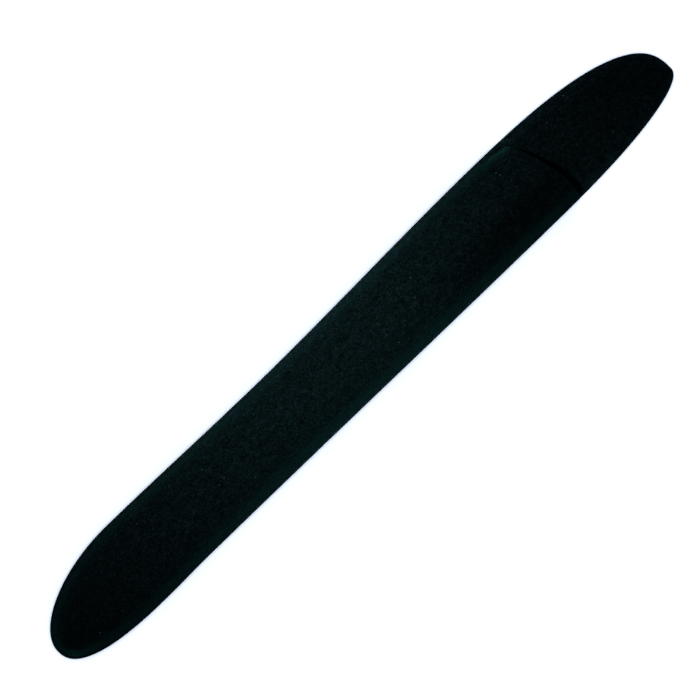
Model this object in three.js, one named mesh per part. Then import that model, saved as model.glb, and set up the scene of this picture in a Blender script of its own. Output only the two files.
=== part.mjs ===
// A glass sanding stick in its slim velvet sleeve, in millimetres.
//
// X runs along the sleeve, from the closed end (-X) to the tip of the tongue (+X).
// Y runs across it, from the near side (-Y) to the far side (+Y). Z is up.
// The origin is under the middle of the sleeve, on the face that it rests on.
//
// The sleeve is two walls, each a sandwich of velvet, stiffening film and velvet.
// The back wall is flat and runs the whole length. The front wall is arched over the
// stick and stops at a slanted mouth. A heat seal joins the walls round the rim.
// Past the mouth the back wall goes on as a tongue, which folds over the mouth.

import * as THREE from 'three';

// ---- driving dimensions ----

const HALF_LENGTH = 90;
const RIM_WIDTH = 2;

// Gaps between layers. The lining and the film of the arch are sampled on different
// grids, so the gap between them is wider.
const BOND_GAP = 0.04;
const LINING_GAP = 0.15;

// Heights of the layers of the back wall and of the sealed rim, upwards from the rest face.
const OUTER_VELVET_TOP = 0.5;
const FILM_TOP = 0.7;
const INNER_VELVET_TOP = 1.2;
const SEAL_TOP = 1.1;
const FRONT_FILM_TOP = 1.3;
const FRONT_RIM_TOP = 1.8;

// The front wall's arch: its height inside, how far in from the rim it is fully raised
// at the sides and at the closed end, how square its shoulders are, and how much of a
// layer's depth its foot is set out towards the edge.
const ARCH_HEIGHT = 4.3;
const ARCH_SIDE_RUN = 7.6;
const ARCH_END_RUN = 8;
const ARCH_SIDE_POWER = 4;
const ARCH_END_POWER = 2.5;
const ARCH_SPREAD = 0.6;

// The mouth bows outwards and is slanted, so that the pocket is longer on the near side.
const MOUTH_CENTRE_X = 55.8;
const MOUTH_SLANT = 0.25;
const MOUTH_RADIUS = 44;

// The tongue folds on this line, a little past the mouth.
const FOLD_X = 60.5;
const FOLD_GAP = 0.3;

// The glass stick.
const STICK_LENGTH = 135;
const STICK_WIDTH = 12;
const STICK_THICKNESS = 3;
const STICK_TIP_X = -82.5;
const STICK_AXIS_Y = -0.3;
const STICK_CLEARANCE = 0.15;
const STICK_BEVEL = 1;
const STICK_BEVEL_STEPS = 2;
const STICK_NOSE_RUN = 15;
const STICK_NOSE_POWER = 2;
const STICK_NOSE_SAMPLES = [0, 0.02, 0.06, 0.13, 0.24, 0.4, 0.65, 1];
const STICK_TAIL_STEPS = 8;

// Plan outline. Each side leaves the closed tip as a quarter superellipse, passes a
// shoulder, a waist and a belly on eased curves, and ends in another quarter.
const CLOSED_TIP_Y = -1.8;
const TONGUE_TIP_Y = -4;
const FAR_SIDE = {
  outward: 1,
  closedPower: 1.9,
  shoulder: { x: -64.5, y: 9.97 },
  waist: { x: -18, y: 9.35 },
  belly: { x: 42.8, y: 10.4 },
  tonguePower: 2.7,
};
const NEAR_SIDE = {
  outward: -1,
  closedPower: 2.57,
  shoulder: { x: -65, y: -10 },
  waist: { x: -53.3, y: -9.8 },
  belly: { x: 51.9, y: -10.4 },
  tonguePower: 2.22,
};

// Where the outline is sampled: by distance from a tip at the rounded ends, and by X
// between them. The arch is also sampled across, by fraction of the width up to half.
const CLOSED_END_RUNS = [0.05, 0.3, 0.8, 1.6, 2.6, 4, 5.8, 8, 11, 15, 20, 25.5, 31];
const BODY_STATIONS = [-53.3, -44, -35, -26, -18, -9, 0, 9, 18, 26, 34, 42.8, 51.9];
const TONGUE_END_RUNS = [0.05, 0.3, 0.9, 1.9, 3.3, 5.2, 7.6, 10.5, 14, 18, 23];
const HALF_WIDTH_FRACTIONS = [0, 0.06, 0.09, 0.12, 0.16, 0.22, 0.3, 0.4, 0.5];

// ---- outline ----

function ease(t) {
  return t * t * (3 - 2 * t);
}

function quarter(t, power) {
  const run = Math.min(Math.max(t, 0), 1);
  return (1 - (1 - run) ** power) ** (1 / power);
}

// The Y of one side of the outline at x, moved inwards by inset.
function sideY(side, x, inset = 0) {
  const tipX = HALF_LENGTH - inset;
  const { shoulder, waist, belly } = side;
  const shift = inset * side.outward;
  if (x < shoulder.x) {
    const rise = quarter((x + tipX) / (shoulder.x + tipX), side.closedPower);
    return CLOSED_TIP_Y + (shoulder.y - shift - CLOSED_TIP_Y) * rise;
  }
  if (x < waist.x) {
    const t = (x - shoulder.x) / (waist.x - shoulder.x);
    return shoulder.y - shift + (waist.y - shoulder.y) * ease(t);
  }
  if (x < belly.x) {
    const t = (x - waist.x) / (belly.x - waist.x);
    return waist.y - shift + (belly.y - waist.y) * ease(t);
  }
  const rise = quarter((tipX - x) / (tipX - belly.x), side.tonguePower);
  return TONGUE_TIP_Y + (belly.y - shift - TONGUE_TIP_Y) * rise;
}

// Both lists of stations run from the open end of a stretch to its tip.
function sleeveStations(openX, inset) {
  const closedEnd = CLOSED_END_RUNS.map((run) => -HALF_LENGTH + inset + run);
  return [openX, ...BODY_STATIONS.toReversed(), ...closedEnd.toReversed()];
}

function tongueStations(openX, inset) {
  const tongueEnd = TONGUE_END_RUNS.map((run) => HALF_LENGTH - inset - run);
  return [openX, ...tongueEnd.toReversed()];
}

function sidePoints(side, stations, inset) {
  return stations.map((x) => new THREE.Vector2(x, sideY(side, x, inset)));
}

// ---- flat layers ----

function slab(points, bottom, top) {
  const shape = new THREE.Shape(points);
  const geometry = new THREE.ExtrudeGeometry(shape, { depth: top - bottom, bevelEnabled: false });
  geometry.translate(0, 0, bottom);
  return geometry;
}

function plate(stationsAt, openX, inset, bottom, top) {
  const stations = stationsAt(openX, inset);
  const near = sidePoints(NEAR_SIDE, stations, inset);
  const far = sidePoints(FAR_SIDE, stations, inset).reverse();
  return slab([...near, ...far], bottom, top);
}

// A strip along the rim, RIM_WIDTH wide, open where the stretch is open.
function rimStrip(stationsAt, openX, bottom, top) {
  const outer = stationsAt(openX, 0);
  const inner = stationsAt(openX, RIM_WIDTH);
  const outline = [
    ...sidePoints(NEAR_SIDE, outer, 0),
    ...sidePoints(FAR_SIDE, outer, 0).reverse(),
    ...sidePoints(FAR_SIDE, inner, RIM_WIDTH),
    ...sidePoints(NEAR_SIDE, inner, RIM_WIDTH).reverse(),
  ];
  return slab(outline, bottom, top);
}

// ---- arched layers ----

function mouthX(y) {
  return MOUTH_CENTRE_X - MOUTH_SLANT * y - (y * y) / (2 * MOUTH_RADIUS);
}

function raised(distance, run, power) {
  const t = Math.min(Math.max(distance / run, 0), 1);
  return 1 - (1 - t) ** power;
}

// How far the arch is raised at a point, from 0 on the rim to 1 along the middle.
function archShape(x, y, inset) {
  const fromFar = raised(sideY(FAR_SIDE, x, inset) - y, ARCH_SIDE_RUN, ARCH_SIDE_POWER);
  const fromNear = raised(y - sideY(NEAR_SIDE, x, inset), ARCH_SIDE_RUN, ARCH_SIDE_POWER);
  const fromEnd = raised(x + HALF_LENGTH - inset, ARCH_END_RUN, ARCH_END_POWER);
  return fromFar * fromNear * fromEnd;
}

// The plan position of one grid point, with the columns leaning over to meet the mouth.
function wallPoint(stationX, fraction, inset) {
  const lean = ease(Math.min(Math.max(stationX / MOUTH_CENTRE_X, 0), 1));
  const straightY = THREE.MathUtils.lerp(
    sideY(NEAR_SIDE, stationX, inset),
    sideY(FAR_SIDE, stationX, inset),
    fraction,
  );
  const x = stationX + lean * (mouthX(straightY) - MOUTH_CENTRE_X);
  const y = THREE.MathUtils.lerp(sideY(NEAR_SIDE, x, inset), sideY(FAR_SIDE, x, inset), fraction);
  return new THREE.Vector2(x, y);
}

// A closed layer between two arched surfaces. A surface is { base, height, inset }.
function archedLayer(domainInset, lower, upper) {
  const columns = sleeveStations(MOUTH_CENTRE_X, domainInset).toReversed();
  const otherHalf = HALF_WIDTH_FRACTIONS.slice(0, -1).map((fraction) => 1 - fraction);
  const rows = [...HALF_WIDTH_FRACTIONS, ...otherHalf.toReversed()];
  const positions = [];
  for (const surface of [lower, upper]) {
    for (const stationX of columns) {
      for (const fraction of rows) {
        const { x, y } = wallPoint(stationX, fraction, domainInset);
        const z = surface.base + surface.height * archShape(x, y, surface.inset);
        positions.push(x, y, z);
      }
    }
  }

  const index = [];
  const quad = (a, b, c, d) => index.push(a, b, c, a, c, d);
  const perSurface = columns.length * rows.length;
  const at = (layer, column, row) => layer * perSurface + column * rows.length + row;
  const lastColumn = columns.length - 1;
  const lastRow = rows.length - 1;
  for (let i = 0; i < lastColumn; i += 1) {
    for (let j = 0; j < lastRow; j += 1) {
      quad(at(0, i, j), at(0, i, j + 1), at(0, i + 1, j + 1), at(0, i + 1, j));
      quad(at(1, i, j), at(1, i + 1, j), at(1, i + 1, j + 1), at(1, i, j + 1));
    }
    quad(at(0, i, 0), at(0, i + 1, 0), at(1, i + 1, 0), at(1, i, 0));
    quad(at(0, i, lastRow), at(1, i, lastRow), at(1, i + 1, lastRow), at(0, i + 1, lastRow));
  }
  for (let j = 0; j < lastRow; j += 1) {
    quad(at(0, 0, j), at(1, 0, j), at(1, 0, j + 1), at(0, 0, j + 1));
    quad(
      at(0, lastColumn, j),
      at(0, lastColumn, j + 1),
      at(1, lastColumn, j + 1),
      at(1, lastColumn, j),
    );
  }

  const geometry = new THREE.BufferGeometry();
  geometry.setAttribute('position', new THREE.Float32BufferAttribute(positions, 3));
  geometry.setIndex(index);
  geometry.computeVertexNormals();
  return geometry;
}

// A surface that stands out from the arch's inside by depth.
function surfaceAt(base, depth) {
  const height = INNER_VELVET_TOP + ARCH_HEIGHT + depth - base;
  return { base, height, inset: RIM_WIDTH - ARCH_SPREAD * depth };
}

// ---- the pieces ----

const FINISHES = {
  velvet: { color: 0x05100f, roughness: 0.95, metalness: 0 },
  film: { color: 0x101214, roughness: 0.5, metalness: 0 },
  seal: { color: 0x08100f, roughness: 0.6, metalness: 0 },
  glass: { color: 0xd6ebe4, roughness: 0.1, metalness: 0, transparent: true, opacity: 0.5 },
};

function piece(name, geometry, finish) {
  const mesh = new THREE.Mesh(geometry, new THREE.MeshStandardMaterial(FINISHES[finish]));
  mesh.name = name;
  return mesh;
}

// One stretch of the back wall, up to its open end at openX.
function backStretch(name, sealName, stationsAt, openX) {
  const layer = (inset, bottom, top) => plate(stationsAt, openX, inset, bottom, top);
  const velvetInset = RIM_WIDTH + BOND_GAP;
  const seal = rimStrip(stationsAt, openX, FILM_TOP, SEAL_TOP - BOND_GAP);
  const group = new THREE.Group();
  group.add(
    piece(`${name}_outer_velvet`, layer(0, 0, OUTER_VELVET_TOP - BOND_GAP), 'velvet'),
    piece(`${name}_core_film`, layer(0, OUTER_VELVET_TOP, FILM_TOP - BOND_GAP), 'film'),
    piece(`${name}_inner_velvet`, layer(velvetInset, FILM_TOP, INNER_VELVET_TOP), 'velvet'),
    piece(sealName, seal, 'seal'),
  );
  return group;
}

function backWall() {
  return backStretch('back', 'pocket_edge_seal', sleeveStations, FOLD_X - FOLD_GAP / 2);
}

function tongue() {
  return backStretch('tongue', 'tongue_edge_seal', tongueStations, FOLD_X + FOLD_GAP / 2);
}

function frontWall() {
  const velvet = OUTER_VELVET_TOP;
  const film = FILM_TOP - OUTER_VELVET_TOP;
  const innerBottom = surfaceAt(INNER_VELVET_TOP + BOND_GAP, BOND_GAP);
  const innerTop = surfaceAt(SEAL_TOP, velvet - LINING_GAP);
  const filmBottom = surfaceAt(SEAL_TOP, velvet);
  const filmTop = surfaceAt(FRONT_FILM_TOP - BOND_GAP, velvet + film - BOND_GAP);
  const outerBottom = surfaceAt(FRONT_FILM_TOP, velvet + film);
  const outerTop = surfaceAt(FRONT_RIM_TOP, 2 * velvet + film);
  const group = new THREE.Group();
  group.add(
    piece('front_inner_velvet', archedLayer(RIM_WIDTH + BOND_GAP, innerBottom, innerTop), 'velvet'),
    piece('front_core_film', archedLayer(0, filmBottom, filmTop), 'film'),
    piece('front_outer_velvet', archedLayer(0, outerBottom, outerTop), 'velvet'),
  );
  return group;
}

function glassStick() {
  const half = STICK_WIDTH / 2 - STICK_BEVEL;
  const noseTip = STICK_TIP_X + STICK_BEVEL;
  const tailTip = STICK_TIP_X + STICK_LENGTH - STICK_BEVEL;
  const nose = STICK_NOSE_SAMPLES.map((t) => {
    return new THREE.Vector2(noseTip + t * STICK_NOSE_RUN, half * quarter(t, STICK_NOSE_POWER));
  });
  const nearNose = nose.slice(1).map((point) => new THREE.Vector2(point.x, -point.y));
  const shape = new THREE.Shape([...nearNose.reverse(), ...nose]);
  shape.lineTo(tailTip - half, half);
  shape.absarc(tailTip - half, 0, half, Math.PI / 2, -Math.PI / 2, true);
  shape.closePath();
  const geometry = new THREE.ExtrudeGeometry(shape, {
    depth: STICK_THICKNESS - 2 * STICK_BEVEL,
    bevelThickness: STICK_BEVEL,
    bevelSize: STICK_BEVEL,
    bevelSegments: STICK_BEVEL_STEPS,
    curveSegments: STICK_TAIL_STEPS,
  });
  geometry.translate(0, STICK_AXIS_Y, INNER_VELVET_TOP + STICK_CLEARANCE + STICK_BEVEL);
  return piece('glass_stick', geometry, 'glass');
}

const sleeve = new THREE.Group();
sleeve.add(backWall(), frontWall(), tongue(), glassStick());

export default sleeve;
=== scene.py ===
"""A glass sanding stick in its velvet sleeve: the looks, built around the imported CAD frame.

X runs along the sleeve, from the closed end (-X) to the tip of the tongue (+X), Y across
it and Z up, as in the CAD model. Shapes are worked out in millimetres, as arrays over a
grid of columns along X and rows across, and are turned into metres as a mesh is written.
"""

import math

import bmesh
import bpy
import numpy as np
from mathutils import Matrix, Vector, noise
from mathutils.kdtree import KDTree


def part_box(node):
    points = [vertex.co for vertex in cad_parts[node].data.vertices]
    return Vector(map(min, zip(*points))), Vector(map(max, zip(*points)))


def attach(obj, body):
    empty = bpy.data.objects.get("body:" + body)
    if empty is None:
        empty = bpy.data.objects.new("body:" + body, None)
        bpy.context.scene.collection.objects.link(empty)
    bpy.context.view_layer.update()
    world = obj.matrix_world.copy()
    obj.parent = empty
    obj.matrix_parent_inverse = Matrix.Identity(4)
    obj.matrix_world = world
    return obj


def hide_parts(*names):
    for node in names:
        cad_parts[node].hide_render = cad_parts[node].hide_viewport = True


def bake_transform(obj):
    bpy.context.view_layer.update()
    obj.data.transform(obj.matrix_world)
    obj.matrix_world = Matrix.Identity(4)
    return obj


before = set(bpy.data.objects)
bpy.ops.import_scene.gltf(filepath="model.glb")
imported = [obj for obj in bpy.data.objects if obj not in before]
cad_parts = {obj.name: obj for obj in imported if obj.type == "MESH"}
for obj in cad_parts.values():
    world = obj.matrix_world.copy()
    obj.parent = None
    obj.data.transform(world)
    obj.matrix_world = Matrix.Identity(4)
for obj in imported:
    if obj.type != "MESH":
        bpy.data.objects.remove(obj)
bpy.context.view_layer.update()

MM = 0.001

# ---- driving dimensions, in millimetres ----

HALF_LENGTH = 90.0
CLOSED_TIP_Y = -1.8
TONGUE_TIP_Y = -4.0
FAR_SIDE = {
    "outward": 1,
    "closed_power": 1.9,
    "shoulder": (-64.5, 9.97),
    "waist": (-18.0, 9.35),
    "belly": (42.8, 10.4),
    "tongue_power": 2.7,
}
NEAR_SIDE = {
    "outward": -1,
    "closed_power": 2.57,
    "shoulder": (-65.0, -10.0),
    "waist": (-53.3, -9.8),
    "belly": (51.9, -10.4),
    "tongue_power": 2.22,
}

# The mouth bows outwards and is slanted.
MOUTH_X = 55.8
MOUTH_SLANT = 0.25
MOUTH_RADIUS = 44.0

RIM_WIDTH = 2.0
GAP = 0.04
EDGE_RECESS = 0.14

# The front wall's inside: a steep side up to a shoulder that clears the stick, and a
# low roof on it whose ridge wanders from the middle to the near side. Each face of the
# wall is shaped like it, with its foot SIDE_SPREAD further out per millimetre of depth.
SHOULDER_HEIGHT = 3.2
ROOF_HEIGHT = 1.08
SIDE_RUN = 4.2
SIDE_POWER = 4.0
SIDE_SPREAD = 0.6
FOOT_SOFTNESS = 0.2
ROOF_FAR_Y = 5.6
ROOF_NEAR_Y = -6.2
RIDGE_SOFTNESS = 0.45
EAVES_SOFTNESS = 0.14
RIDGE_CLOSED_Y = -0.2
RIDGE_MOUTH_Y = -2.2
RIDGE_DRIFT_X = (-75, 5)
ROOF_START_X = (-88, -70)

# Near the mouth the near side rises less steeply, over LEAN_Y along -Y, and the fused
# rim thins out.
LEAN_START_X = 51.0
LEAN_Y = (0, 5)
LEAN_POWER_SHARE = 0.8
LEAN_RUN_GAIN = 1.2
RIM_TAPER_START_X = 40.0
RIM_TAPER = 0.9

# There the fused rim on the far side widens too, over WIDEN_Y along +Y, so the opening
# starts inside the edge: the pile by PILE_WIDEN, and the layers under it by CORE_WIDEN.
WIDEN_START_X = 42.0
WIDEN_Y = (0, 4)
PILE_WIDEN = 1.25
CORE_WIDEN = 0.15

# Where the tongue starts, as distances past the mouth: the seal sinks just before it,
# and the back wall's lining then spreads over the seal as far as the edge.
SEAL_SINK = (-2.5, 0.0)
SEAL_DROP = 0.32
LINING_SPREAD = (0.2, 2.6)
LINING_ON_SEAL = 0.08
LINING_ON_SEAL_WIDTH = 0.4

# The rim is pressed: from PRESS_WIDTH inside the edge, every height shrinks towards it,
# by PRESS_SHARE at the edge itself.
PRESS_WIDTH = 3.0
PRESS_SHARE = 0.5

# How far inside its cut edge each layer reaches its full thickness. On the tongue the
# back wall's lining takes TONGUE_LINING_ROUND_GAIN more.
FRONT_VELVET_ROUND = 0.24
FRONT_FILM_ROUND = 0.08
FRONT_LINING_ROUND = 0.18
BACK_VELVET_ROUND = 0.2
BACK_FILM_ROUND = 0.07
BACK_LINING_ROUND = 0.22
TONGUE_LINING_ROUND_GAIN = 1.6
SEAL_ROUND = 0.16

# How far inside the mouth the front wall's inner layers stop.
FILM_RECESS = 0.3
LINING_RECESS = 0.12


def top_of(node):
    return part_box(node)[1].z / MM


def bottom_of(node):
    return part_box(node)[0].z / MM


BACK_VELVET_TOP = top_of("back_outer_velvet")
BACK_FILM_BOTTOM = bottom_of("back_core_film")
BACK_FILM_TOP = top_of("back_core_film")
LINING_BOTTOM = bottom_of("back_inner_velvet")
LINING_TOP = top_of("back_inner_velvet")
SEAL_BOTTOM = bottom_of("pocket_edge_seal")
SEAL_TOP = top_of("pocket_edge_seal")
FRONT_LINING_BOTTOM = LINING_TOP + GAP
FRONT_FILM_BOTTOM = bottom_of("front_core_film")
FRONT_VELVET_BOTTOM = bottom_of("front_outer_velvet")
FRONT_FILM_TOP = FRONT_VELVET_BOTTOM - GAP

# On the rim the front wall's velvet is as thick as the back wall's, and a gap more.
FRONT_RIM_TOP = FRONT_VELVET_BOTTOM + BACK_VELVET_TOP + GAP


class Face:
    """A face of the front wall. It lies depth outside the wall's inner face, is flat at
    the height rim up to its foot, and rises from there with a side of a run and power.
    By the mouth its foot moves in by widening on the far side. Only a fused face sinks
    and thins out with the seal."""

    def __init__(self, rim, depth, foot=RIM_WIDTH, softness=FOOT_SOFTNESS, fused=True):
        self.rim = rim
        self.depth = depth
        self.foot = foot - SIDE_SPREAD * depth
        self.softness = softness
        self.fused = fused
        self.widening = CORE_WIDEN if fused else 0
        self.run = SIDE_RUN
        self.power = SIDE_POWER


def lining_face(rim, depth):
    return Face(rim, depth, foot=RIM_WIDTH + 0.2, fused=False)


def pile_face(rim, depth):
    """The pile's face starts near the edge and is rounder than the layers under it."""
    face = Face(rim, depth, foot=0.95, softness=0.35)
    face.run = 6.4
    face.power = 2.8
    face.widening = PILE_WIDEN
    return face


# Each layer's lower and upper face.
LINING_FACES = (
    lining_face(FRONT_LINING_BOTTOM, depth=GAP),
    lining_face(FRONT_LINING_BOTTOM + 0.06, depth=0.42),
)
FILM_FACES = (
    Face(FRONT_FILM_BOTTOM, depth=0.5),
    Face(FRONT_FILM_TOP, depth=0.66),
)
VELVET_FACES = (
    Face(FRONT_VELVET_BOTTOM, depth=0.7),
    pile_face(FRONT_RIM_TOP, depth=1.2),
)


# ---- curves and outline ----


def ease(t):
    return t * t * (3 - 2 * t)


def ramp(value, start, end):
    return ease(np.clip((value - start) / (end - start), 0, 1))


def quarter(t, power):
    """A rounded rise from 0 to 1. A power of 2 is a quarter of a circle."""
    run = np.clip(t, 0, 1)
    return (1 - (1 - run) ** power) ** (1 / power)


def raised(distance, run, power):
    """A rise from 0 to 1 over a run, which is steep first and then levels out."""
    return 1 - (1 - np.clip(distance / run, 0, 1)) ** power


def softly_positive(value, softness):
    return (value + np.sqrt(value * value + softness * softness)) / 2


def side_y(side, x, inset=0.0):
    """The Y of one side of the outline at x, moved inwards by inset."""
    tip_x = HALF_LENGTH - inset
    shift = inset * side["outward"]
    shoulder_x, shoulder_y = side["shoulder"]
    waist_x, waist_y = side["waist"]
    belly_x, belly_y = side["belly"]
    closed = quarter((x + tip_x) / (shoulder_x + tip_x), side["closed_power"])
    closed_y = CLOSED_TIP_Y + (shoulder_y - shift - CLOSED_TIP_Y) * closed
    waist = ramp(x, shoulder_x, waist_x)
    waist_side_y = shoulder_y - shift + (waist_y - shoulder_y) * waist
    belly = ramp(x, waist_x, belly_x)
    belly_side_y = waist_y - shift + (belly_y - waist_y) * belly
    tongue = quarter((tip_x - x) / (tip_x - belly_x), side["tongue_power"])
    tongue_y = TONGUE_TIP_Y + (belly_y - shift - TONGUE_TIP_Y) * tongue
    zones = [x < shoulder_x, x < waist_x, x < belly_x]
    return np.select(zones, [closed_y, waist_side_y, belly_side_y], tongue_y)


def mouth_x(y):
    return MOUTH_X - MOUTH_SLANT * y - y * y / (2 * MOUTH_RADIUS)


def past_mouth(x, y, span):
    """0 before the mouth and 1 past it, over a span of distances from it."""
    return ramp(x - mouth_x(y), *span)


def inset_side_y(side, x, insets):
    """side_y with one inset along the pocket and another along the tongue."""
    pocket, tongue = insets
    spread = past_mouth(x, side_y(side, x), LINING_SPREAD)
    return side_y(side, x, pocket + (tongue - pocket) * spread)


class Outline:
    """The sleeve's outline moved inwards by two insets, for true distances to the edge."""

    SAMPLES = 3001

    def __init__(self, insets=(0.0, 0.0)):
        share = (1 - np.cos(np.linspace(0, math.pi, self.SAMPLES))) / 2
        start, end = -HALF_LENGTH + insets[0], HALF_LENGTH - insets[1]
        x = start + (end - start) * share
        near = np.column_stack([x, inset_side_y(NEAR_SIDE, x, insets)])
        far = np.column_stack([x, inset_side_y(FAR_SIDE, x, insets)])
        self.points = np.vstack([near, far[-2:0:-1]])
        self.tree = KDTree(len(self.points))
        for index, (px, py) in enumerate(self.points):
            self.tree.insert((px, py, 0), index)
        self.tree.balance()

    def distance(self, plan):
        flat = plan.reshape(-1, 2)
        nearest = np.array([self.tree.find((x, y, 0))[1] for x, y in flat])
        count = len(self.points)
        best = np.full(len(flat), np.inf)
        for step in (-1, 0):
            start = self.points[(nearest + step) % count]
            run = self.points[(nearest + step + 1) % count] - start
            share = ((flat - start) * run).sum(1) / (run * run).sum(1)
            gap = start + np.clip(share, 0, 1)[:, None] * run - flat
            best = np.minimum(best, np.hypot(gap[:, 0], gap[:, 1]))
        return best.reshape(plan.shape[:2])


EDGE = Outline()

# The pile's colour is painted lighter along the edge, as a painted sheen, and darker in a patch
# by the mouth on the near side, as painted shade. The shade fades in and out along X over its
# two spans, and in along -Y over its Y span.
PAINTED_SHEEN_LIFT = 1.5
PAINTED_SHEEN_REACH = 1.3
PAINTED_SHADE_START_X = (8, 44)
PAINTED_SHADE_END_X = (48, 68)
PAINTED_SHADE_Y = (-1, 3)
PAINTED_SHADE_MARGIN = 1.0
PAINTED_SHADE_DEPTH = 0.5


# ---- grids ----

EDGE_ROWS = [0, 0.02, 0.06, 0.12, 0.2, 0.3, 0.42, 0.56, 0.72, 0.9, 1.1, 1.35, 1.6, 1.9, 2.2]
LIP_ROWS = EDGE_ROWS[:9]
TYPICAL_WIDTH = 20.0
TIP_LENGTH = 26.0

# Column step, row step and columns in a rounded tip.
FINE_STEPS = (0.45, 0.36, 70)
PLAIN_STEPS = (0.6, 0.9, 50)


def row_fractions(middle_step):
    """Fractions across the width, close together near both edges."""
    edge = np.array(EDGE_ROWS) / TYPICAL_WIDTH
    span = 1 - 2 * edge[-1]
    count = max(2, round(span * TYPICAL_WIDTH / middle_step))
    middle = edge[-1] + span * np.arange(1, count) / count
    return np.concatenate([edge, middle, 1 - edge[::-1]])


def tip_runs(count):
    """Distances from a rounded tip, very close together at the tip itself."""
    return TIP_LENGTH * (1 - np.cos(np.linspace(0, math.pi / 2, count)))


def body_columns(start, end, step):
    return np.linspace(start, end, max(2, round((end - start) / step) + 1))


def whole_columns(insets, step, tip_count):
    closed_tip, tongue_tip = insets[0] - HALF_LENGTH, HALF_LENGTH - insets[1]
    runs = tip_runs(tip_count)
    body = body_columns(closed_tip + TIP_LENGTH, tongue_tip - TIP_LENGTH, step)
    return np.concatenate([closed_tip + runs[:-1], body, tongue_tip - runs[-2::-1]])


def pocket_columns(inset, step, tip_count):
    """Columns from the closed tip to the mouth, and close together at the cut edge there."""
    tip = inset - HALF_LENGTH
    runs = tip_runs(tip_count)
    lip = np.array(LIP_ROWS)[::-1]
    body = body_columns(tip + TIP_LENGTH, MOUTH_X - lip[0], step)
    return np.concatenate([tip + runs[:-1], body[:-1], MOUTH_X - lip])


def across(x, fractions, insets):
    near = inset_side_y(NEAR_SIDE, x, insets)
    far = inset_side_y(FAR_SIDE, x, insets)
    return np.stack([x, near + (far - near) * fractions], axis=2)


def flat_plan(columns, fractions, insets):
    return across(np.repeat(columns[:, None], len(fractions), axis=1), fractions, insets)


def mouth_plan(columns, fractions, inset, recess):
    """A plan whose columns lean over until the last one follows the mouth, recess inside it."""
    insets = (inset, inset)
    plan = flat_plan(columns, fractions, insets)
    lean = ramp(plan[..., 0], 0, MOUTH_X)
    shift = mouth_x(plan[..., 1]) - recess - MOUTH_X
    return across(plan[..., 0] + lean * shift, fractions, insets)


# ---- heights ----


def pressed(height, edge):
    return height * (1 - PRESS_SHARE * (1 - ramp(edge, 0, PRESS_WIDTH)))


def roof(x, y):
    """The soft roof over the stick, from 0 at its eaves to 1 on its ridge."""
    ridge_y = RIDGE_CLOSED_Y + (RIDGE_MOUTH_Y - RIDGE_CLOSED_Y) * ramp(x, *RIDGE_DRIFT_X)
    reach = np.where(y > ridge_y, ROOF_FAR_Y - ridge_y, ridge_y - ROOF_NEAR_Y)
    t = (y - ridge_y) / reach
    slope = np.sqrt(t * t + RIDGE_SOFTNESS**2) - RIDGE_SOFTNESS
    full = math.sqrt(1 + RIDGE_SOFTNESS**2) - RIDGE_SOFTNESS
    return softly_positive(1 - slope / full, EAVES_SOFTNESS) * ramp(x, *ROOF_START_X)


def side_shape(plan, edge, face):
    """The steep side, from 0 on the rim to 1 on the shoulder."""
    x, y = plan[..., 0], plan[..., 1]
    by_mouth = ramp(x, WIDEN_START_X, MOUTH_X)
    widened = by_mouth * ramp(y, *WIDEN_Y)
    lean = ramp(x, LEAN_START_X, MOUTH_X) * ramp(-y, *LEAN_Y)
    run = face.run + (SIDE_RUN - face.run) * by_mouth + LEAN_RUN_GAIN * lean
    power = face.power + (SIDE_POWER - face.power) * by_mouth
    power = power * (1 - (1 - LEAN_POWER_SHARE) * lean)
    inside = np.maximum(edge - face.foot - face.widening * widened, 0)
    return raised(inside * inside / (inside + face.softness), run, power)


def rim_height(plan, face):
    """The height of a face on the rim, which thins out at the mouth where it is fused."""
    if not face.fused:
        return np.full(plan.shape[:2], face.rim)
    x, y = plan[..., 0], plan[..., 1]
    thinned = 1 - RIM_TAPER * ramp(x, RIM_TAPER_START_X, MOUTH_X)
    sunk = SEAL_DROP * past_mouth(x, y, SEAL_SINK)
    return FRONT_FILM_BOTTOM - sunk + (face.rim - FRONT_FILM_BOTTOM) * thinned


def front_height(plan, edge, face):
    side = side_shape(plan, edge, face)
    rise = SHOULDER_HEIGHT + ROOF_HEIGHT * roof(plan[..., 0], plan[..., 1])
    rim = rim_height(plan, face)
    return pressed(rim, edge) + (FRONT_LINING_BOTTOM + rise + face.depth - rim) * side


# ---- relief ----

SEED_STEPS = (17.3, 7.9, 31.1)

# The pile's relief, in millimetres: its mean drop, the swing of each size of noise, and
# how the broadest one is drawn out along X.
PILE_DROP = 0.075
PILE_SWING = 0.05
TUFT_SIZE = 0.55
CLUMP_SIZE = 1.5
BRUSHING_SIZE = 3.4
BRUSHING_STRETCH = np.array([0.4, 1, 1])
PILE_FADE_WIDTH = 0.4

SMALLEST_LENGTH = 1e-12


def noise_field(points, size, seed):
    """Smooth noise from -1 to 1, whose grains are about size across."""
    offset = Vector([seed * step for step in SEED_STEPS])
    values = [noise.noise(Vector(p) / size + offset) for p in points.reshape(-1, 3)]
    return np.array(values).reshape(points.shape[:2])


def pile_relief(points, seed):
    """How far the pile stands below its full height, in millimetres."""
    tufts = noise_field(points, TUFT_SIZE, seed)
    clumps = noise_field(points, CLUMP_SIZE, seed + 1)
    brushing = noise_field(points * BRUSHING_STRETCH, BRUSHING_SIZE, seed + 2)
    return PILE_DROP - PILE_SWING * tufts - PILE_SWING * clumps - PILE_SWING * brushing


def grid_normals(points):
    normal = np.cross(np.gradient(points, axis=0), np.gradient(points, axis=1))
    length = np.linalg.norm(normal, axis=2, keepdims=True)
    return normal / np.maximum(length, SMALLEST_LENGTH)


def roughen(points, depth, fade):
    """Moves a face inwards, against its outward normals, where the pile is lower."""
    return points - grid_normals(points) * (depth * fade)[..., None]


# ---- meshes ----

# Vertices closer than this are one vertex, in metres.
WELD = 2e-8


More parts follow.
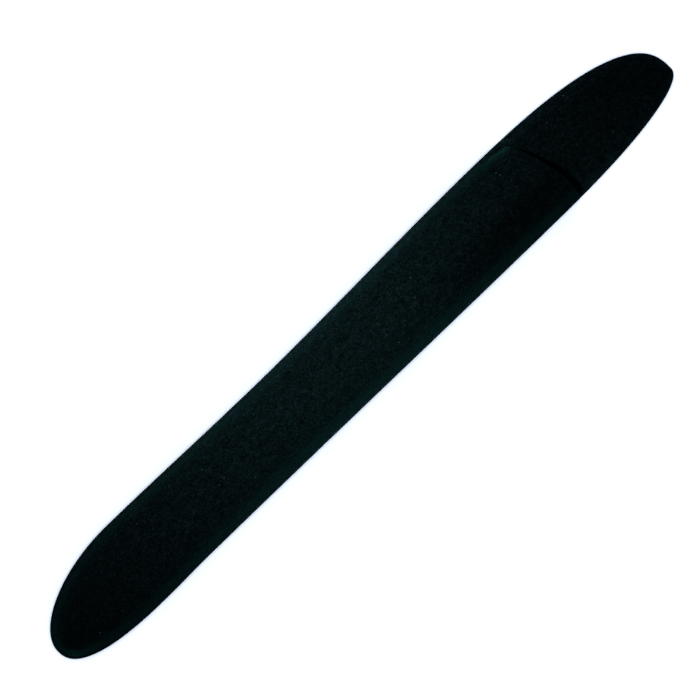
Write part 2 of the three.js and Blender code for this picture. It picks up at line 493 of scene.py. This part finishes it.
def grid_faces(columns, rows, first, flipped):
    index = first + np.arange(columns * rows).reshape(columns, rows)
    a, b = index[:-1, :-1], index[1:, :-1]
    c, d = index[1:, 1:], index[:-1, 1:]
    corners = (a, d, c, b) if flipped else (a, b, c, d)
    return np.stack(corners, axis=2).reshape(-1, 4)


def closed_mesh(name, lower, upper):
    """One closed body from two faces that meet all round their edge."""
    columns, rows = lower.shape[:2]
    vertices = np.vstack([lower.reshape(-1, 3), upper.reshape(-1, 3)]) * MM
    lower_faces = grid_faces(columns, rows, 0, True)
    upper_faces = grid_faces(columns, rows, columns * rows, False)
    mesh = bpy.data.meshes.new(name)
    mesh.from_pydata(vertices.tolist(), [], np.vstack([lower_faces, upper_faces]).tolist())
    return finished(mesh)


def finished(mesh):
    """Welds the shared edge, drops what that flattened and shades the mesh smooth."""
    body = bmesh.new()
    body.from_mesh(mesh)
    bmesh.ops.remove_doubles(body, verts=body.verts, dist=WELD)
    bmesh.ops.dissolve_degenerate(body, edges=body.edges, dist=WELD)
    loose = [vertex for vertex in body.verts if not vertex.link_faces]
    bmesh.ops.delete(body, geom=loose, context="VERTS")
    bmesh.ops.recalc_face_normals(body, faces=body.faces)
    body.to_mesh(mesh)
    body.free()
    mesh.polygons.foreach_set("use_smooth", [True] * len(mesh.polygons))
    return mesh


def painted_sheen_and_shade(plan):
    """How much lighter the pile's colour is painted than its plain colour: more along the edge,
    a painted sheen, and less in a patch by the mouth on the near side, painted shade."""
    x, y = plan[..., 0], plan[..., 1]
    distance = EDGE.distance(plan)
    # The patch of painted shade on the near side before the mouth.
    along = ramp(x, *PAINTED_SHADE_START_X) * (1 - ramp(x, *PAINTED_SHADE_END_X))
    patch = along * ramp(-y, *PAINTED_SHADE_Y) * (1 - np.exp(-distance / PAINTED_SHADE_MARGIN))
    # Painted sheen along the edge, less painted shade in the patch by the mouth.
    return PAINTED_SHEEN_LIFT * np.exp(-distance / PAINTED_SHEEN_REACH) - PAINTED_SHADE_DEPTH * patch


def mark_painted_sheen_and_shade(mesh):
    """Writes the painted sheen and shade on each vertex, for the velvet material."""
    points = np.empty(len(mesh.vertices) * 3)
    mesh.vertices.foreach_get("co", points)
    plan = points.reshape(-1, 1, 3)[..., :2] / MM
    lift = mesh.attributes.new("painted_sheen_and_shade", "FLOAT", "POINT")
    lift.data.foreach_set("value", painted_sheen_and_shade(plan).ravel())


def add_piece(mesh, material):
    piece = bpy.data.objects.new(mesh.name, mesh)
    bpy.context.scene.collection.objects.link(piece)
    mesh.materials.append(material)
    return piece


def add_velvet_piece(mesh, material):
    mark_painted_sheen_and_shade(mesh)
    return add_piece(mesh, material)


def cut_edge(distance, radius):
    """How full a layer is near its cut edge, from 0 on it to 1 at radius inside."""
    inside = 1 - np.clip(distance / radius, 0, 1)
    return np.sqrt(1 - inside * inside)


def rounded(lower, upper, fullness):
    """Draws two heights together where the layer ends."""
    middle = (lower + upper) / 2
    half = (upper - lower) / 2 * fullness
    return middle - half, middle + half


def with_height(plan, height):
    return np.concatenate([plan, height[..., None]], axis=2)


# ---- the sleeve's layers ----


def own_distance(plan, insets):
    """The distance to the layer's own edge, exactly 0 on the first and last lines."""
    distance = Outline(insets).distance(plan)
    distance[:, [0, -1]] = 0
    distance[[0, -1], :] = 0
    return distance


def front_layer(name, inset, recess, face_pair, steps, radius, relief_seed=None):
    """A layer of the front wall, between two of its faces, rounded at its cut edge."""
    column_step, row_step, tip_count = steps
    columns = pocket_columns(inset, column_step, tip_count)
    plan = mouth_plan(columns, row_fractions(row_step), inset, recess)
    edge = EDGE.distance(plan)
    to_mouth = plan[-1, :, 0] - plan[..., 0]
    own_edge = np.minimum(own_distance(plan, (inset, inset)), to_mouth)
    own_edge[-1, :] = 0
    lower, upper = (front_height(plan, edge, face) for face in face_pair)
    lower, upper = rounded(lower, upper, cut_edge(own_edge, radius))
    lower_face = with_height(plan, lower)
    upper_face = with_height(plan, upper)
    if relief_seed is not None:
        depth = pile_relief(upper_face, relief_seed)
        upper_face = roughen(upper_face, depth, ramp(own_edge, 0, PILE_FADE_WIDTH))
    return closed_mesh(name, lower_face, upper_face)


def back_grid(insets, steps):
    column_step, row_step, tip_count = steps
    columns = whole_columns(insets, column_step, tip_count)
    plan = flat_plan(columns, row_fractions(row_step), insets)
    return plan, EDGE.distance(plan), own_distance(plan, insets)


def back_faces(plan, edge, own_edge, heights, radius):
    lower, upper = (pressed(height + 0 * edge, edge) for height in heights)
    lower, upper = rounded(lower, upper, cut_edge(own_edge, radius))
    return with_height(plan, lower), with_height(plan, upper)


def back_velvet_mesh():
    """The outer velvet, with its pile on the face that the sleeve rests on."""
    plan, edge, own_edge = back_grid((0.0, 0.0), FINE_STEPS)
    lower, upper = back_faces(plan, edge, own_edge, (0, BACK_VELVET_TOP), BACK_VELVET_ROUND)
    lower = roughen(lower, -pile_relief(lower, seed=13), ramp(own_edge, 0, PILE_FADE_WIDTH))
    return closed_mesh("back_velvet", lower, upper)


def back_film_mesh():
    plan, edge, own_edge = back_grid((EDGE_RECESS, EDGE_RECESS), PLAIN_STEPS)
    heights = (BACK_FILM_BOTTOM, BACK_FILM_TOP)
    faces = back_faces(plan, edge, own_edge, heights, BACK_FILM_ROUND)
    return closed_mesh("back_film", *faces)


def back_lining_mesh():
    """The inner velvet, inside the rim in the pocket and out to the edge on the tongue."""
    plan, edge, own_edge = back_grid((RIM_WIDTH + GAP, GAP), FINE_STEPS)
    on_seal = 1 - ramp(edge, RIM_WIDTH, RIM_WIDTH + LINING_ON_SEAL_WIDTH)
    heights = (LINING_BOTTOM + LINING_ON_SEAL * on_seal, LINING_TOP)
    on_tongue = past_mouth(plan[..., 0], plan[..., 1], LINING_SPREAD)
    radius = BACK_LINING_ROUND + TONGUE_LINING_ROUND_GAIN * on_tongue
    lower, upper = back_faces(plan, edge, own_edge, heights, radius)
    upper = roughen(upper, pile_relief(upper, seed=23), ramp(own_edge, 0, PILE_FADE_WIDTH))
    return closed_mesh("back_lining", lower, upper)


SEAL_ROWS = (0, 0.03, 0.08, 0.16, 0.28, 0.4, 0.5, 0.6, 0.72, 0.84, 0.92, 0.97, 1)
SEAL_POINT_STEP = 2
CRUSH_DEPTH = 0.02
CRUSH_SIZE = 0.5
CRUSH_FADE_WIDTH = 0.3


def edge_seal_mesh():
    """The crushed band all round the rim, which sinks under the lining on the tongue."""
    inner_inset = RIM_WIDTH - GAP
    outer = Outline((EDGE_RECESS, EDGE_RECESS)).points[::SEAL_POINT_STEP]
    inner = Outline((inner_inset, inner_inset)).points[::SEAL_POINT_STEP]
    share = np.array(SEAL_ROWS)
    plan = outer[:, None, :] + (inner - outer)[:, None, :] * share[None, :, None]
    plan = np.concatenate([plan, plan[:1]], axis=0)
    edge = EDGE.distance(plan)
    own_edge = np.minimum(share, 1 - share) * (inner_inset - EDGE_RECESS) + 0 * edge
    sunk = SEAL_DROP * past_mouth(plan[..., 0], plan[..., 1], SEAL_SINK)
    heights = (SEAL_BOTTOM, SEAL_TOP - sunk)
    lower, upper = back_faces(plan, edge, own_edge, heights, SEAL_ROUND)
    crush = CRUSH_DEPTH + CRUSH_DEPTH * noise_field(upper, CRUSH_SIZE, seed=41)
    upper[..., 2] -= crush * cut_edge(own_edge, CRUSH_FADE_WIDTH) * (1 - sunk / SEAL_DROP)
    return closed_mesh("edge_seal", lower, upper)


# ---- the glass stick ----

STICK_BEVEL = 1.3
STICK_CORNER = 0.12
STICK_NOSE_RUN = 15.0
STICK_NOSE_POWER = 2.0
STICK_COLUMN_STEP = 0.5
STICK_END_COLUMNS = 40
STICK_EDGE_ROWS = 12
STICK_MIDDLE_ROWS = 17

# The faces are etched from here inwards, to this depth.
ETCH_FADE = (0.9, 1.3)
ETCH_DEPTH = 0.03
ETCH_GRIT_SIZE = 0.32


def stick_columns(low_x, high_x, tail_run):
    """Columns along the stick, close together at its nose and its tail."""
    opening = 1 - np.cos(np.linspace(0, math.pi / 2, STICK_END_COLUMNS))
    nose = low_x + STICK_NOSE_RUN * opening
    tail = high_x - tail_run * opening
    body = body_columns(low_x + STICK_NOSE_RUN, high_x - tail_run, STICK_COLUMN_STEP)
    return np.concatenate([nose[:-1], body, tail[-2::-1]])


def stick_rows():
    """Shares of the half width across the stick, from -1 to 1, close at both edges."""
    edge = 0.5 - 0.5 * np.cos(np.linspace(0, math.pi / 2, STICK_EDGE_ROWS))
    middle = np.linspace(0.5, 1, STICK_MIDDLE_ROWS + 1)[1:]
    half = np.concatenate([edge, middle])
    return np.concatenate([half, 2 - half[-2::-1]]) - 1


def stick_half_widths(columns, low_x, high_x, half_width):
    nose = quarter((columns - low_x) / (STICK_NOSE_RUN + STICK_BEVEL), STICK_NOSE_POWER)
    tail = quarter((high_x - columns) / half_width, 2)
    half = half_width * np.minimum(nose, tail)
    half[[0, -1]] = 0
    return half[:, None]


def etch(face, own_edge, side, seed):
    grit = 0.5 + 0.5 * noise_field(face, ETCH_GRIT_SIZE, seed)
    face[..., 2] -= side * ETCH_DEPTH * grit * ramp(own_edge, *ETCH_FADE)


def stick_mesh():
    """A glass bar with a long rounded nose, a round tail, soft bevels and etched faces."""
    low, high = (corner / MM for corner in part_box("glass_stick"))
    half_width = (high.y - low.y) / 2
    columns = stick_columns(low.x, high.x, half_width)
    rows = stick_rows()
    half = stick_half_widths(columns, low.x, high.x, half_width)
    y = (high.y + low.y) / 2 + half * rows
    x = np.repeat(columns[:, None], len(rows), axis=1)
    plan = np.stack([x, y], axis=2)
    own_edge = half * (1 - np.abs(rows))
    middle = (low.z + high.z) / 2
    land = (high.z - low.z) / 2 - STICK_BEVEL
    corner = land * cut_edge(own_edge, STICK_CORNER)
    thickness = corner + STICK_BEVEL * cut_edge(own_edge, STICK_BEVEL)
    lower_face = with_height(plan, middle - thickness)
    upper_face = with_height(plan, middle + thickness)
    etch(lower_face, own_edge, side=-1, seed=61)
    etch(upper_face, own_edge, side=1, seed=67)
    return closed_mesh("sanding_stick", lower_face, upper_face)


# ---- materials ----

# The Mix node's sockets when it mixes colours.
MIX_COLOUR_A = 6
MIX_COLOUR_B = 7
MIX_COLOUR_RESULT = 2

# How many bends a fleck's cell has, and how far they reach, in cells.
FLECK_BENDS = 2.5
FLECK_BEND_REACH = 0.5


class Nodes:
    """A material's node tree, with short calls for the nodes that this scene uses."""

    def __init__(self, name):
        self.material = bpy.data.materials.new(name)
        self.material.use_nodes = True
        self.tree = self.material.node_tree
        self.shader = self.tree.nodes["Principled BSDF"]

    def add(self, kind, **settings):
        node = self.tree.nodes.new(kind)
        for key, value in settings.items():
            setattr(node, key, value)
        return node

    def join(self, source, target):
        self.tree.links.new(source, target)

    def place(self):
        return self.add("ShaderNodeTexCoord").outputs["Object"]

    def noise(self, size, detail=2.0, roughness=0.5, stretch=(1, 1, 1)):
        """Noise whose grains are about size metres across."""
        mapping = self.add("ShaderNodeMapping")
        mapping.inputs["Scale"].default_value = stretch
        self.join(self.place(), mapping.inputs["Vector"])
        texture = self.add("ShaderNodeTexNoise")
        texture.inputs["Scale"].default_value = 1 / size
        texture.inputs["Detail"].default_value = detail
        texture.inputs["Roughness"].default_value = roughness
        self.join(mapping.outputs["Vector"], texture.inputs["Vector"])
        return texture.outputs["Fac"]

    def math(self, operation, a, b, clamp=False):
        node = self.add("ShaderNodeMath", operation=operation, use_clamp=clamp)
        for socket, value in zip(node.inputs, (a, b)):
            if isinstance(value, (int, float)):
                socket.default_value = value
            else:
                self.join(value, socket)
        return node.outputs["Value"]

    def ramp(self, factor, stops):
        node = self.add("ShaderNodeValToRGB")
        elements = node.color_ramp.elements
        while len(elements) < len(stops):
            elements.new(0.5)
        for element, (position, colour) in zip(elements, stops):
            element.position = position
            element.color = (*colour, 1)
        self.join(factor, node.inputs["Fac"])
        return node.outputs["Color"]

    def mix(self, factor, a, b):
        node = self.add("ShaderNodeMix", data_type="RGBA")
        self.join(factor, node.inputs["Factor"])
        for index, value in ((MIX_COLOUR_A, a), (MIX_COLOUR_B, b)):
            socket = node.inputs[index]
            if isinstance(value, tuple):
                socket.default_value = (*value, 1)
            else:
                self.join(value, socket)
        return node.outputs[MIX_COLOUR_RESULT]

    def flecks(self, spacing, size, rarity):
        """Short crooked specks: 1 on a speck and 0 off it. The cells are spacing metres
        apart, a speck's radius is size cells, and a share of rarity of them stay empty."""
        bend = self.add("ShaderNodeTexNoise")
        bend.inputs["Scale"].default_value = FLECK_BENDS / spacing
        self.join(self.place(), bend.inputs["Vector"])
        bent = self.add("ShaderNodeVectorMath", operation="MULTIPLY_ADD")
        reach = spacing * FLECK_BEND_REACH
        bent.inputs[1].default_value = (reach, reach, 0)
        self.join(bend.outputs["Color"], bent.inputs[0])
        self.join(self.place(), bent.inputs[2])
        cells = self.add("ShaderNodeTexVoronoi")
        cells.inputs["Scale"].default_value = 1 / spacing
        self.join(bent.outputs["Vector"], cells.inputs["Vector"])
        close = self.math("LESS_THAN", cells.outputs["Distance"], size)
        separate = self.add("ShaderNodeSeparateColor")
        self.join(cells.outputs["Color"], separate.inputs["Color"])
        rare = self.math("GREATER_THAN", separate.outputs["Red"], rarity)
        return self.math("MULTIPLY", close, rare)

    def bump(self, height, distance, strength):
        node = self.add("ShaderNodeBump")
        node.inputs["Distance"].default_value = distance
        node.inputs["Strength"].default_value = strength
        self.join(height, node.inputs["Height"])
        self.join(node.outputs["Normal"], self.shader.inputs["Normal"])

    def set(self, **values):
        for name, value in values.items():
            self.shader.inputs[name.replace("_", " ")].default_value = value


VELVET_COLOUR = (0.0001, 0.00035, 0.00045)
VELVET_SHEEN_TINT = (0.12, 0.95, 1.0, 1)
VELVET_ROUGHNESS = 0.78
GRAIN_ROUGHNESS = 0.2
# The crushed band's colour is painted lighter than the pile's by this factor, a painted sheen
# of its flattened fibres.
CRUSHED_SHEEN_FACTOR = 1.2

# The pile's colour: each value of its noise, and the factor on its plain colour there.
VELVET_SHADES = ((0.35, 0.25), (0.47, 0.8), (0.56, 1.3), (0.67, 2.9))
LINT_LIFT = 16
GRAIN_SHARE = 0.75


def scaled(colour, factor):
    return tuple(channel * factor for channel in colour)


def velvet_material(name, colour, sheen, crush):
    """Short dark pile: a deep base with a soft sheen, grain, mottling and lint, its colour
    painted lighter along the edges as a painted sheen and darker in a patch by the mouth as
    painted shade.
    """
    nodes = Nodes(name)
    grain = nodes.noise(size=0.00045, detail=3, roughness=0.65)
    mottle = nodes.noise(size=0.0013, detail=2, roughness=0.55, stretch=(0.7, 1, 1))
    grain_part = nodes.math("MULTIPLY", grain, GRAIN_SHARE)
    mottle_part = nodes.math("MULTIPLY", mottle, 1 - GRAIN_SHARE)
    stops = [(position, scaled(colour, factor)) for position, factor in VELVET_SHADES]
    shades = nodes.ramp(nodes.math("ADD", grain_part, mottle_part), stops)
    # The vertex attribute scales the pile's colour: painted sheen along the edges, painted
    # shade in a patch by the mouth.
    pile = nodes.add("ShaderNodeAttribute", attribute_name="painted_sheen_and_shade")
    shades_with_painted_light = nodes.add("ShaderNodeVectorMath", operation="SCALE")
    nodes.join(shades, shades_with_painted_light.inputs["Vector"])
    nodes.join(nodes.math("ADD", pile.outputs["Fac"], 1.0), shades_with_painted_light.inputs["Scale"])
    lint = nodes.flecks(spacing=0.0022, size=0.055, rarity=0.66)
    colours = nodes.mix(lint, shades_with_painted_light.outputs["Vector"], scaled(colour, LINT_LIFT))
    nodes.join(colours, nodes.shader.inputs["Base Color"])
    uneven = nodes.math("MULTIPLY", grain, GRAIN_ROUGHNESS)
    rough = nodes.math("ADD", uneven, VELVET_ROUGHNESS - crush, clamp=True)
    nodes.join(rough, nodes.shader.inputs["Roughness"])
    fine = nodes.noise(size=0.00016, detail=2, roughness=0.6)
    nodes.bump(nodes.math("ADD", fine, grain), distance=0.00014, strength=0.6)
    nodes.set(Specular_IOR_Level=0.0, Sheen_Weight=sheen, Sheen_Roughness=0.3)
    nodes.set(Sheen_Tint=VELVET_SHEEN_TINT)
    return nodes.material


FILM_DARK = (0.0010, 0.0016, 0.0020)
FILM_LIGHT = (0.003, 0.004, 0.0045)
FILM_ROUGHNESS = 0.5
STREAK_ROUGHNESS = 0.3


def film_material():
    """The stiffening film: dark satin plastic with faint rolling marks."""
    nodes = Nodes("stiffening_film")
    streaks = nodes.noise(size=0.0009, detail=3, roughness=0.6, stretch=(0.08, 1, 1))
    shades = nodes.ramp(streaks, [(0.3, FILM_DARK), (0.7, FILM_LIGHT)])
    nodes.join(shades, nodes.shader.inputs["Base Color"])
    uneven = nodes.math("MULTIPLY", streaks, STREAK_ROUGHNESS)
    rough = nodes.math("ADD", uneven, FILM_ROUGHNESS)
    nodes.join(rough, nodes.shader.inputs["Roughness"])
    nodes.bump(streaks, distance=0.00005, strength=0.3)
    nodes.set(Specular_IOR_Level=0.04)
    return nodes.material


GLASS_DARK = (0.52, 0.74, 0.70)
GLASS_LIGHT = (0.66, 0.84, 0.80)
POLISHED_ROUGHNESS = 0.04
FROST_ROUGHNESS = 0.3
GRIT_ROUGHNESS = 0.2

# A glass face is etched where the size of its normal's Z is above this.
ETCHED_FACING = 0.9


def glass_material():
    """Clear greenish glass, polished on its edges and etched on its faces."""
    nodes = Nodes("etched_glass")
    grit = nodes.noise(size=0.00022, detail=3, roughness=0.7)
    shades = nodes.ramp(grit, [(0.3, GLASS_DARK), (0.7, GLASS_LIGHT)])
    nodes.join(shades, nodes.shader.inputs["Base Color"])
    geometry = nodes.add("ShaderNodeNewGeometry")
    separate = nodes.add("ShaderNodeSeparateXYZ")
    nodes.join(geometry.outputs["Normal"], separate.inputs["Vector"])
    facing = nodes.math("ABSOLUTE", separate.outputs["Z"], 0.0)
    etched = nodes.math("GREATER_THAN", facing, ETCHED_FACING)
    uneven = nodes.math("MULTIPLY", grit, GRIT_ROUGHNESS)
    frost = nodes.math("MULTIPLY", etched, nodes.math("ADD", uneven, FROST_ROUGHNESS))
    rough = nodes.math("ADD", frost, POLISHED_ROUGHNESS)
    nodes.join(rough, nodes.shader.inputs["Roughness"])
    nodes.bump(nodes.math("MULTIPLY", grit, etched), distance=0.00008, strength=0.5)
    nodes.set(Transmission_Weight=1.0, IOR=1.5)
    return nodes.material


FLOOR_DARK = (0.92, 0.92, 0.92)
FLOOR_LIGHT = (0.95, 0.95, 0.95)


def floor_material():
    nodes = Nodes("studio_floor")
    cloud = nodes.noise(size=0.3, detail=2, roughness=0.5)
    shades = nodes.ramp(cloud, [(0.0, FLOOR_DARK), (1.0, FLOOR_LIGHT)])
    nodes.join(shades, nodes.shader.inputs["Base Color"])
    nodes.set(Roughness=0.9, Specular_IOR_Level=0.1)
    return nodes.material


# ---- building ----


def fold_at_tongue(piece):
    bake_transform(piece)


def front_velvet_mesh():
    """The outer velvet of the front wall, out to the sleeve's edge and the mouth."""
    faces, radius = VELVET_FACES, FRONT_VELVET_ROUND
    return front_layer("front_velvet", 0, 0, faces, FINE_STEPS, radius, relief_seed=3)


def front_film_mesh():
    faces, radius = FILM_FACES, FRONT_FILM_ROUND
    return front_layer("front_film", EDGE_RECESS, FILM_RECESS, faces, PLAIN_STEPS, radius)


def front_lining_mesh():
    """The lining inside the rim, which the stick touches."""
    inset, faces, radius = RIM_WIDTH + GAP, LINING_FACES, FRONT_LINING_ROUND
    return front_layer("front_lining", inset, LINING_RECESS, faces, PLAIN_STEPS, radius)


def build_front(velvet, film):
    outer = add_velvet_piece(front_velvet_mesh(), velvet)
    core = add_piece(front_film_mesh(), film)
    lining = add_velvet_piece(front_lining_mesh(), velvet)
    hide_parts("front_outer_velvet")
    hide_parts("front_core_film")
    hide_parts("front_inner_velvet")
    for piece in (outer, core, lining):
        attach(piece, "sleeve")
    return outer, core, lining


def build_back(velvet, film, seal):
    outer = add_velvet_piece(back_velvet_mesh(), velvet)
    core = add_piece(back_film_mesh(), film)
    lining = add_velvet_piece(back_lining_mesh(), velvet)
    band = add_velvet_piece(edge_seal_mesh(), seal)
    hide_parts("back_outer_velvet", "tongue_outer_velvet")
    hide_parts("back_core_film", "tongue_core_film")
    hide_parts("back_inner_velvet", "tongue_inner_velvet")
    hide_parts("pocket_edge_seal", "tongue_edge_seal")
    for piece in (outer, core, lining, band):
        fold_at_tongue(piece)
    return outer, core, lining, band


def build_stick(glass):
    stick = add_piece(stick_mesh(), glass)
    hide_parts("glass_stick")
    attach(stick, "stick")


# ---- stage, in metres ----

FLOOR_HALF = 2.5
FLOOR_DROP = 0.00003

CAMERA_X = -0.0008
CAMERA_Y = 0.00065
CAMERA_HEIGHT = 0.4141
CAMERA_LENS = 100.0
CAMERA_SENSOR_WIDTH = 36.0
CAMERA_CLIP = (0.01, 20.0)
CAMERA_ROLL = math.radians(-44.215)

WORLD_COLOUR = (0.86, 0.93, 1.07, 1)
WORLD_STRENGTH = 1.42

# Each spot makes a soft pool of light on the object, round aim_x on its axis. The pool's
# half_angle is in degrees.
SPOTS = {
    "key": {
        "place": (-0.24, 0.22, 0.58),
        "aim_x": 0.002,
        "radius": 0.055,
        "half_angle": 5.8,
        "watts": 480,
        "colour": (1.3, 1.0, 0.86),
    },
    "fill": {
        "place": (0.05, -0.60, 0.24),
        "aim_x": -0.026,
        "radius": 0.02,
        "half_angle": 4.9,
        "watts": 36,
        "colour": (0.7, 1.0, 0.97),
    },
}


def build_floor():
    mesh = bpy.data.meshes.new("floor")
    corners = [(-1, -1), (1, -1), (1, 1), (-1, 1)]
    points = [(FLOOR_HALF * x, FLOOR_HALF * y, -FLOOR_DROP) for x, y in corners]
    mesh.from_pydata(points, [], [(0, 1, 2, 3)])
    mesh.materials.append(floor_material())
    floor = bpy.data.objects.new("floor", mesh)
    bpy.context.scene.collection.objects.link(floor)


def build_camera():
    data = bpy.data.cameras.new("camera")
    data.lens = CAMERA_LENS
    data.sensor_width = CAMERA_SENSOR_WIDTH
    data.clip_start, data.clip_end = CAMERA_CLIP
    camera = bpy.data.objects.new("camera", data)
    camera.location = (CAMERA_X, CAMERA_Y, CAMERA_HEIGHT)
    camera.rotation_euler = (0, 0, CAMERA_ROLL)
    bpy.context.scene.collection.objects.link(camera)
    bpy.context.scene.camera = camera


def build_world():
    world = bpy.data.worlds.new("studio")
    world.use_nodes = True
    background = world.node_tree.nodes["Background"]
    background.inputs["Color"].default_value = WORLD_COLOUR
    background.inputs["Strength"].default_value = WORLD_STRENGTH
    bpy.context.scene.world = world


def aimed(light, target):
    direction = Vector(target) - light.location
    light.rotation_euler = direction.to_track_quat("-Z", "Y").to_euler()


def build_spot(lit, name, place, aim_x, radius, half_angle, watts, colour):
    data = bpy.data.lights.new(name, "SPOT")
    data.energy = watts
    data.color = colour
    data.shadow_soft_size = radius
    data.spot_size = math.radians(2 * half_angle)
    data.spot_blend = 1.0
    light = bpy.data.objects.new(name, data)
    light.location = place
    bpy.context.scene.collection.objects.link(light)
    light.light_linking.receiver_collection = lit
    aimed(light, (aim_x, 0, 0))


def collected(name, pieces):
    group = bpy.data.collections.new(name)
    for piece in pieces:
        group.objects.link(piece)
    return group


def build_stage(dark_pieces):
    """The spots lift only the dark velvet, so the white floor and the glass stay even."""
    build_floor()
    build_camera()
    build_world()
    lit = collected("spot_lit", dark_pieces)
    for name, spot in SPOTS.items():
        build_spot(lit, name, **spot)
    bpy.context.scene.view_settings.view_transform = "Standard"


def main():
    velvet = velvet_material("velvet_pile", VELVET_COLOUR, sheen=0.016, crush=0.0)
    # The crushed band's painted sheen: its colour lighter than the pile's.
    crushed_sheen_colour = scaled(VELVET_COLOUR, CRUSHED_SHEEN_FACTOR)
    seal = velvet_material("crushed_velvet", crushed_sheen_colour, sheen=0.018, crush=0.15)
    film = film_material()
    glass = glass_material()
    front = build_front(velvet, film)
    back = build_back(velvet, film, seal)
    build_stick(glass)
    build_stage(front + back)


main()
